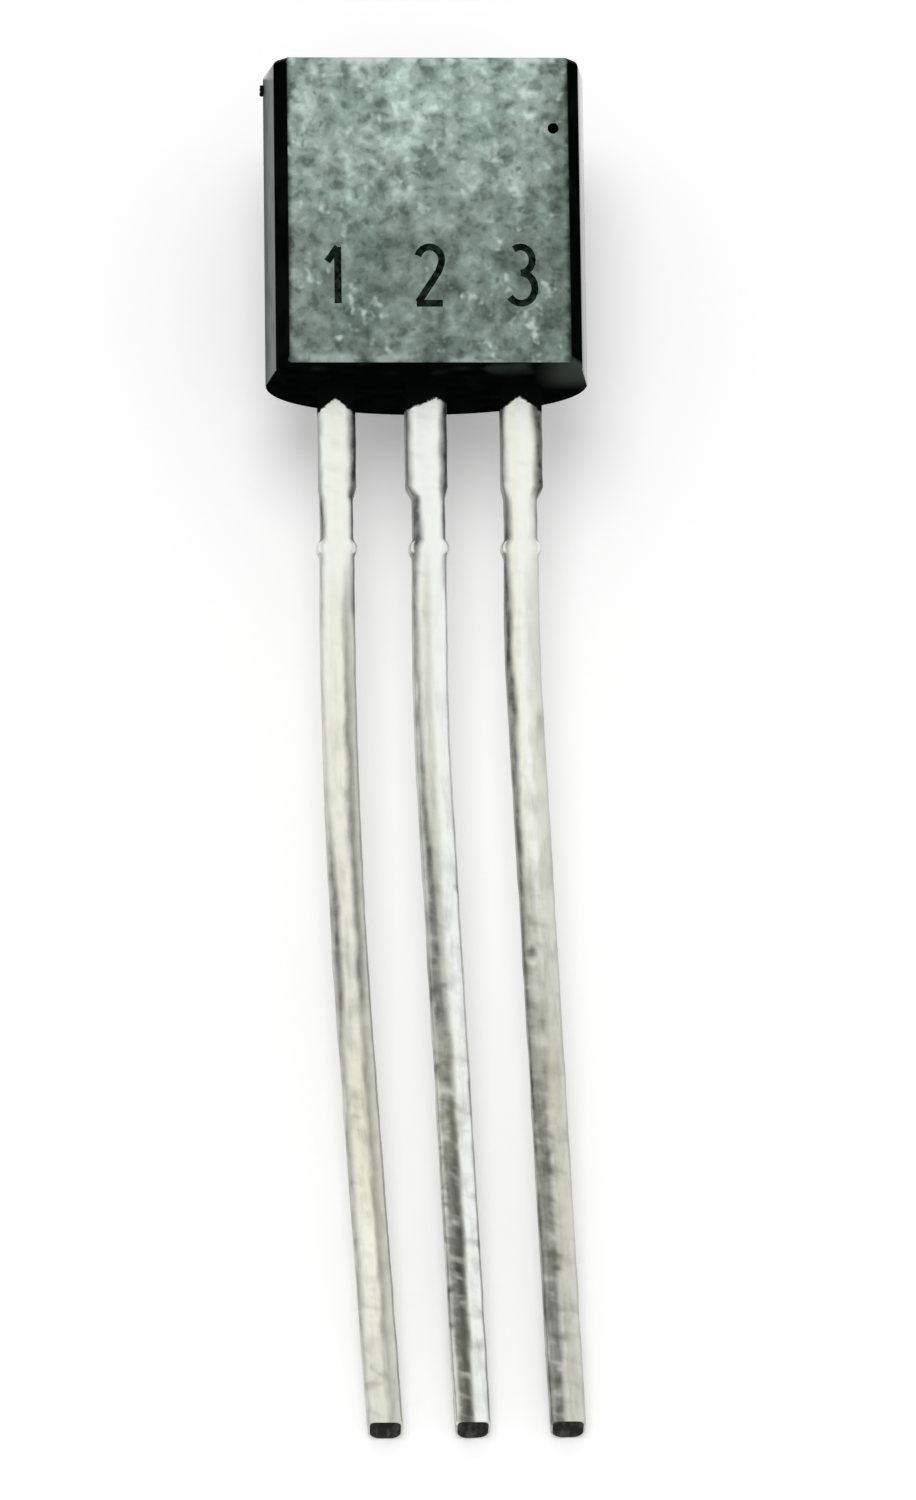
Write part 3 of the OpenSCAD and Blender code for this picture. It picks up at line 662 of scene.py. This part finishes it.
def blasted_epoxy_and_painted_light(name):
    """The same epoxy where the mould was sandblasted: pale greenish grey, partly a painted sheen of
    the light on it, with painted light and shade, mottled and sparkling.
    """
    made, tree, shader = material(name, tone(140, 155, 148), Roughness=0.72)
    shader.inputs["Specular IOR Level"].default_value = 0.2
    place = node(tree, "Attribute", attribute_name="on_part").outputs["Vector"]
    split = node(tree, "SeparateXYZ", {0: place}).outputs
    across, height = split[0], split[2]
    # painted light and shade: the flat is painted lighter toward the top, and darker toward the
    # bottom and the right
    wavy = node(tree, "TexNoise", {"Vector": place, "Scale": 0.8, "Detail": 2.0}).outputs[0]
    level = maths(tree, "MULTIPLY_ADD", wavy, 2.4, -1.2)
    painted_top_light = fade(tree, maths(tree, "ADD", height, level), 1.0, 3.9)
    colour = blend(tree, painted_top_light, tone(114, 128, 121), tone(157, 174, 166))
    right = fade(tree, maths(tree, "MULTIPLY_ADD", level, 0.2, across), 1.4, 1.8, 0.0, 0.7)
    colour = blend(tree, right, colour, tone(98, 111, 104))

    def shaded(amount, shade):
        """The colour so far, multiplied by a shade by some amount."""
        return blend(tree, amount, colour, blend(tree, 1.0, colour, (*shade, 1), "MULTIPLY"))

    # some areas are greener, others greyer
    hue = node(tree, "TexNoise", {"Vector": place, "Scale": 1.5, "Detail": 2.0}).outputs[0]
    colour = shaded(fade(tree, hue, 0.42, 0.66), (0.95, 1.0, 0.98))
    # soft mottling in two sizes, dark and light
    blotch = node(tree, "TexNoise", {"Vector": place, "Scale": 2.9, "Detail": 2.0,
                                     "Distortion": 0.2}).outputs[0]
    grain = node(tree, "TexNoise", {"Vector": place, "Scale": 6.2, "Detail": 2.0,
                                    "Roughness": 0.5, "Distortion": 0.25}).outputs[0]
    for pattern, dark, light in ((blotch, 0.64, 1.32), (grain, 0.56, 1.4)):
        colour = shaded(fade(tree, pattern, 0.5, 0.7), (dark, dark * 1.02, dark * 1.01))
        colour = shaded(fade(tree, pattern, 0.5, 0.3), (light, light, light))
    # the rims above and below are painted bright here and there, a painted highlight that is
    # stronger at the top; those beside the bevels are dark
    rim_highlight = maths(tree, "ABSOLUTE", maths(tree, "ADD", height, -BODY_H / 2))
    rim_highlight = maths(tree, "MULTIPLY", fade(tree, rim_highlight, 2.04, 2.12), fade(tree, blotch, 0.56, 0.42))
    rim_highlight = maths(tree, "MULTIPLY", rim_highlight, fade(tree, height, 1.0, 4.0, 0.4, 0.8))
    colour = blend(tree, rim_highlight, colour, tone(206, 214, 210))
    beside = maths(tree, "MULTIPLY_ADD", grain, 0.08, maths(tree, "ABSOLUTE", across))
    colour = shaded(fade(tree, beside, FLAT_W / 2 - 0.05, FLAT_W / 2 + 0.06), (0.08, 0.09, 0.085))
    # the sparkle of cut filler, and a few dark specks
    moved = node(tree, "Mapping", {"Vector": place, "Location": (4.3, 1.1, 2.7)}).outputs[0]
    spark = node(tree, "TexNoise", {"Vector": moved, "Scale": 5.2, "Detail": 1.5}).outputs[0]
    colour = blend(tree, fade(tree, spark, 0.6, 0.82, 0.0, 0.75), colour, tone(210, 226, 218))
    colour = blend(tree, fade(tree, spark, 0.32, 0.22, 0.0, 0.6), colour, tone(64, 82, 73))
    tree.links.new(colour, shader.inputs["Base Color"])
    rough = maths(tree, "MULTIPLY_ADD", grain, 0.3, 0.55)
    tree.links.new(rough, shader.inputs["Roughness"])
    relief = maths(tree, "MULTIPLY_ADD", blotch, 0.8, grain)
    bump = node(tree, "Bump", {"Strength": 0.5, "Distance": 0.00001, "Height": relief})
    tree.links.new(bump.outputs[0], shader.inputs["Normal"])
    return made


satin = black_epoxy("satin_black", (9, 12, 10), 0.03, Roughness=0.62)
polished = black_epoxy("polished_black", (4, 7, 5), 0.0, Roughness=0.35)
moulded = black_epoxy("moulded_black", (14, 17, 15), 0.4, Roughness=0.4)
blasted = blasted_epoxy_and_painted_light("blasted_grey")

# the two flat walls are clean as glass and mirror the table to whoever looks along them, but the
# left one is painted grey, painted light on the wall that faces the light, lighter toward the flat
# and darker toward the parting line; the grey ends just below the top, and further below it toward
# the flat
PAINTED_LIGHT_END = 0.1
CLEAN_FROM = 0.04
PAINTED_LIGHT_SLOPE = 0.29
walled, tree, shader = material("wall_black", tone(104, 108, 105), Specular_IOR_Level=0.1,
                                Coat_Roughness=0.05)
place = node(tree, "Attribute", attribute_name="on_part").outputs["Vector"]
across, back, height = node(tree, "SeparateXYZ", {0: place}).outputs
clean = fade(tree, maths(tree, "MULTIPLY_ADD", back, -PAINTED_LIGHT_SLOPE, height),
             BODY_H - PAINTED_LIGHT_END, BODY_H - CLEAN_FROM)
clean = maths(tree, "MAXIMUM", clean, fade(tree, across, -0.1, 0.1))
smear = node(tree, "Mapping", {"Vector": place, "Scale": (1, 1, 0.3)}).outputs[0]
smear = node(tree, "TexNoise", {"Vector": smear, "Scale": 7.0, "Detail": 4.0}).outputs[0]
back = maths(tree, "ADD", back, maths(tree, "MULTIPLY_ADD", smear, 0.5, -0.25))
# the left wall's painted light: lighter toward the flat, darker toward the parting line, with
# darker smears
grey = blend(tree, fade(tree, back, -0.55, -0.05), tone(126, 130, 128), tone(82, 86, 84))
grey = blend(tree, fade(tree, smear, 0.5, 0.72, 0.0, 0.5), grey, tone(76, 82, 79))
tree.links.new(blend(tree, clean, grey, tone(9, 12, 10)), shader.inputs["Base Color"])
tree.links.new(clean, shader.inputs["Coat Weight"])
tree.links.new(fade(tree, clean, 0.0, 1.0, 0.6, 0.07), shader.inputs["Roughness"])
bump = node(tree, "Bump", {"Strength": fade(tree, clean, 0.0, 1.0, 0.4, 0.0),
                           "Distance": 0.000006, "Height": smear})
tree.links.new(bump.outputs[0], shader.inputs["Normal"])

burnt, tree, shader = material("laser_mark", tone(34, 44, 40), Roughness=0.8,
                               Specular_IOR_Level=0.0)
place = node(tree, "Attribute", attribute_name="on_part").outputs["Vector"]
char = node(tree, "TexNoise", {"Vector": place, "Scale": 14.0, "Detail": 3.0}).outputs[0]
tree.links.new(blend(tree, fade(tree, char, 0.35, 0.7), tone(8, 15, 12), tone(36, 46, 41)),
               shader.inputs["Base Color"])
finishes = (satin, polished, blasted, walled, burnt, moulded)
for finish in finishes:
    body.data.materials.append(finish)

# the round back and the top end are plain, the seating face and the bevels polished, the flat
# blasted, and what is left are the narrow roundings between them
bpy.ops.object.mode_set(mode="EDIT")
for finish, test in (
        (moulded, lambda f: f.normal.y > 0.02 or f.normal.z > 0.9),
        (polished, lambda f: f.normal.z < -0.3
         or 0.8 < abs(f.normal.x) < 0.96 and f.normal.y < -0.2),
        (blasted, lambda f: abs(f.normal.x) < 0.6 and f.normal.y < -0.5
         and f.calc_center_median().y < 0.1 - FLAT_DEPTH),
        (walled, lambda f: abs(f.normal.x) > 0.96
         and -0.05 - WALL_DEPTH < f.calc_center_median().y < -0.02)):
    pick(test, "faces")
    body.active_material_index = finishes.index(finish)
    bpy.ops.object.material_slot_assign()

# the stub of the gate that the epoxy came in through, broken off rough
gate = start(bpy.ops.mesh.primitive_cylinder_add, "gate", vertices=14, radius=GATE_R,
             depth=GATE_L, rotation=(0, math.pi / 2, 0),
             location=(GATE[0] + GATE_SUNK, GATE[1], GATE[2]))
gate.data.materials.append(satin)
only(gate)
bpy.ops.object.transform_apply(location=True, rotation=True, scale=True)
bpy.ops.object.mode_set(mode="EDIT")
pick(lambda f: f.normal.x < -0.9, "faces")
bpy.ops.mesh.inset(thickness=0.025)
bpy.ops.mesh.poke()
pick(lambda v: v.co.x < GATE[0])
bpy.ops.transform.vertex_random(offset=0.022, seed=4)
# nothing of it stands out further than the gate did
pick(lambda v: v.co.x < GATE[0] - GATE_OUT)
bpy.ops.transform.resize(value=(0, 1, 1),
                         center_override=(GATE[0] - GATE_OUT, GATE[1], GATE[2]))
cut_from(body, gate, "UNION")

# a gas bubble that broke through the flat
bubble = start(bpy.ops.mesh.primitive_ico_sphere_add, "bubble", subdivisions=3,
               radius=PINHOLE_R, location=PINHOLE)
bpy.ops.transform.vertex_random(offset=0.008, seed=3)
bubble.data.materials.append(polished)
only(bubble)
bpy.ops.object.transform_apply(location=True, rotation=True, scale=True)
cut_from(body, bubble)

# the numbers of the three leads, burnt into the flat by laser, one stroke after another; each
# stroke is a run of (across, up) on a box that is half as wide as it is high
ARC = [(math.cos(math.radians(a)), math.sin(math.radians(a))) for a in range(-180, 181, 18)]
STROKES = {
    -PITCH: [[(0.08, 0.74), (0.26, 1.0)], [(0.26, 1.0), (0.26, 0.0)]],
    0.0: [[(0.25 + 0.21 * x, 0.77 + 0.23 * y) for x, y in ARC[19:8:-1]]
          + [(0.4, 0.56), (0.05, 0.02)], [(0.02, 0.0), (0.47, 0.0)]],
    PITCH: [[(0.23 + 0.2 * x, 0.77 + 0.23 * y) for x, y in ARC[5:18]],
            [(0.23 + 0.24 * x, 0.27 + 0.27 * y) for x, y in ARC[2:16]]],
}
# a round tool of this radius, sunk by the mark's depth, cuts a groove of the mark's width
tool_r = (MARK_W ** 2 / 4 + MARK_DEPTH ** 2) / (2 * MARK_DEPTH)
for middle, strokes in STROKES.items():
    for stroke in strokes:
        path = bpy.data.curves.new("stroke", "CURVE")
        path.dimensions = "3D"
        path.bevel_depth = tool_r
        path.bevel_resolution = 4
        path.use_fill_caps = True
        spline = path.splines.new("POLY")
        spline.points.add(len(stroke) - 1)
        for point, (x, z) in zip(spline.points, stroke):
            point.co = (middle + (x - 0.25) * MARK_H, MARK_DEPTH - tool_r - FLAT_DEPTH,
                        MARK_Z + z * MARK_H, 1)
        mark = bpy.data.objects.new("stroke", path)
        bpy.context.scene.collection.objects.link(mark)
        only(mark)
        bpy.ops.object.convert(target="MESH")
        mark = bpy.context.object
        mark.data.materials.clear()
        mark.data.materials.append(burnt)
        cut_from(body, mark)

drawn_at(body)
lay_down(body)
bpy.ops.object.shade_smooth_by_angle(angle=math.radians(35))
# the flat is shaded flat, so that no rounding or stroke bends the light on it
for face in body.data.polygons:
    if all(body.data.attributes["on_part"].data[v].vector.y < -FLAT_DEPTH + NEAR
           for v in face.vertices):
        face.use_smooth = False
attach(body, "root")
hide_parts("epoxy_body")

# ---------------------------------------------------------------------------------------------
# Table and light. A plain white table, and one soft lamp above with an even white surround. They
# aren't part of the object. Tin and clean epoxy mirror the table and the surround as white.
# ---------------------------------------------------------------------------------------------

TABLE_SIZE = 3
TABLE_GLOW = 0.2
SURROUND_LIGHT = 0.6
LAMP_SIZE = 0.15
LAMP_POWER = 0.33
LAMP_PLACE = (-0.03, 0.05, 0.29)

floor = start(bpy.ops.mesh.primitive_plane_add, "table", size=TABLE_SIZE)
bpy.ops.transform.translate(value=(0, 0, cad_box[0][2]))
bpy.ops.object.mode_set(mode="OBJECT")
white, tree, shader = material("table_white", (0.9, 0.9, 0.9, 1), Roughness=0.9)
shader.inputs["Specular IOR Level"].default_value = 0.0
shader.inputs["Emission Color"].default_value = (1, 1, 1, 1)
# seen directly it is a little brighter than the light on it makes it
seen = node(tree, "LightPath").outputs["Is Camera Ray"]
tree.links.new(maths(tree, "MULTIPLY", seen, TABLE_GLOW), shader.inputs["Emission Strength"])
floor.data.materials.append(white)

world = bpy.data.worlds.new("surround")
bpy.context.scene.world = world
world.use_nodes = True
tree = world.node_tree
tree.nodes.clear()
# seen directly or mirrored the surround is white, but it lights the part less than that
rays = node(tree, "LightPath").outputs
seen = maths(tree, "MAXIMUM", rays["Is Camera Ray"], rays["Is Glossy Ray"])
seen = maths(tree, "MAXIMUM", seen, rays["Is Transmission Ray"])
level = maths(tree, "MULTIPLY_ADD", seen, 1 - SURROUND_LIGHT, SURROUND_LIGHT)
surround = node(tree, "Background", {"Color": (1, 1, 1, 1), "Strength": level})
node(tree, "OutputWorld", {"Surface": surround.outputs[0]})

lamp_data = bpy.data.lights.new("soft_lamp", "AREA")
lamp_data.shape = "DISK"
lamp_data.size = LAMP_SIZE
lamp_data.energy = LAMP_POWER
lamp = bpy.data.objects.new("soft_lamp", lamp_data)
bpy.context.scene.collection.objects.link(lamp)
lamp.location = LAMP_PLACE
lamp.visible_glossy = False
lamp.rotation_euler = (-lamp.location).to_track_quat("-Z", "Y").to_euler()

# ---------------------------------------------------------------------------------------------
# Camera, looking down on the part from the side of its leads. Its lens is long, so that what is
# nearer looks only a little larger.
# ---------------------------------------------------------------------------------------------

CAMERA_PITCH = math.radians(19.35)
CAMERA_YAW = math.radians(3.27)
CAMERA_ROLL = math.radians(-1.21)
CAMERA_DISTANCE = 0.12
CAMERA_LENS = 210.67
CAMERA_SENSOR = 36
AIM = (0, -0.0000546, 0.002)
AIM_ACROSS = 0.0003445
AIM_DOWN = 0.000261
look = Vector((math.sin(CAMERA_YAW) * math.cos(CAMERA_PITCH), math.sin(CAMERA_PITCH),
               -math.cos(CAMERA_PITCH) * math.cos(CAMERA_YAW))).normalized()
up = (Vector((0, 1, 0)) - look * look.y).normalized()
right = look.cross(up)
across = math.cos(CAMERA_ROLL) * right + math.sin(CAMERA_ROLL) * up
upward = math.cos(CAMERA_ROLL) * up - math.sin(CAMERA_ROLL) * right
aim = Vector(AIM) + AIM_ACROSS * across - AIM_DOWN * upward
camera_data = bpy.data.cameras.new("camera")
camera_data.lens = CAMERA_LENS
camera_data.sensor_width = CAMERA_SENSOR
camera_data.clip_start = 0.005
camera_data.clip_end = 20
camera = bpy.data.objects.new("camera", camera_data)
bpy.context.scene.collection.objects.link(camera)
camera.location = aim - look * CAMERA_DISTANCE
camera.rotation_euler = Matrix((across, upward, -look)).transposed().to_euler()
bpy.context.scene.camera = camera

bpy.context.scene.view_settings.view_transform = "Standard"
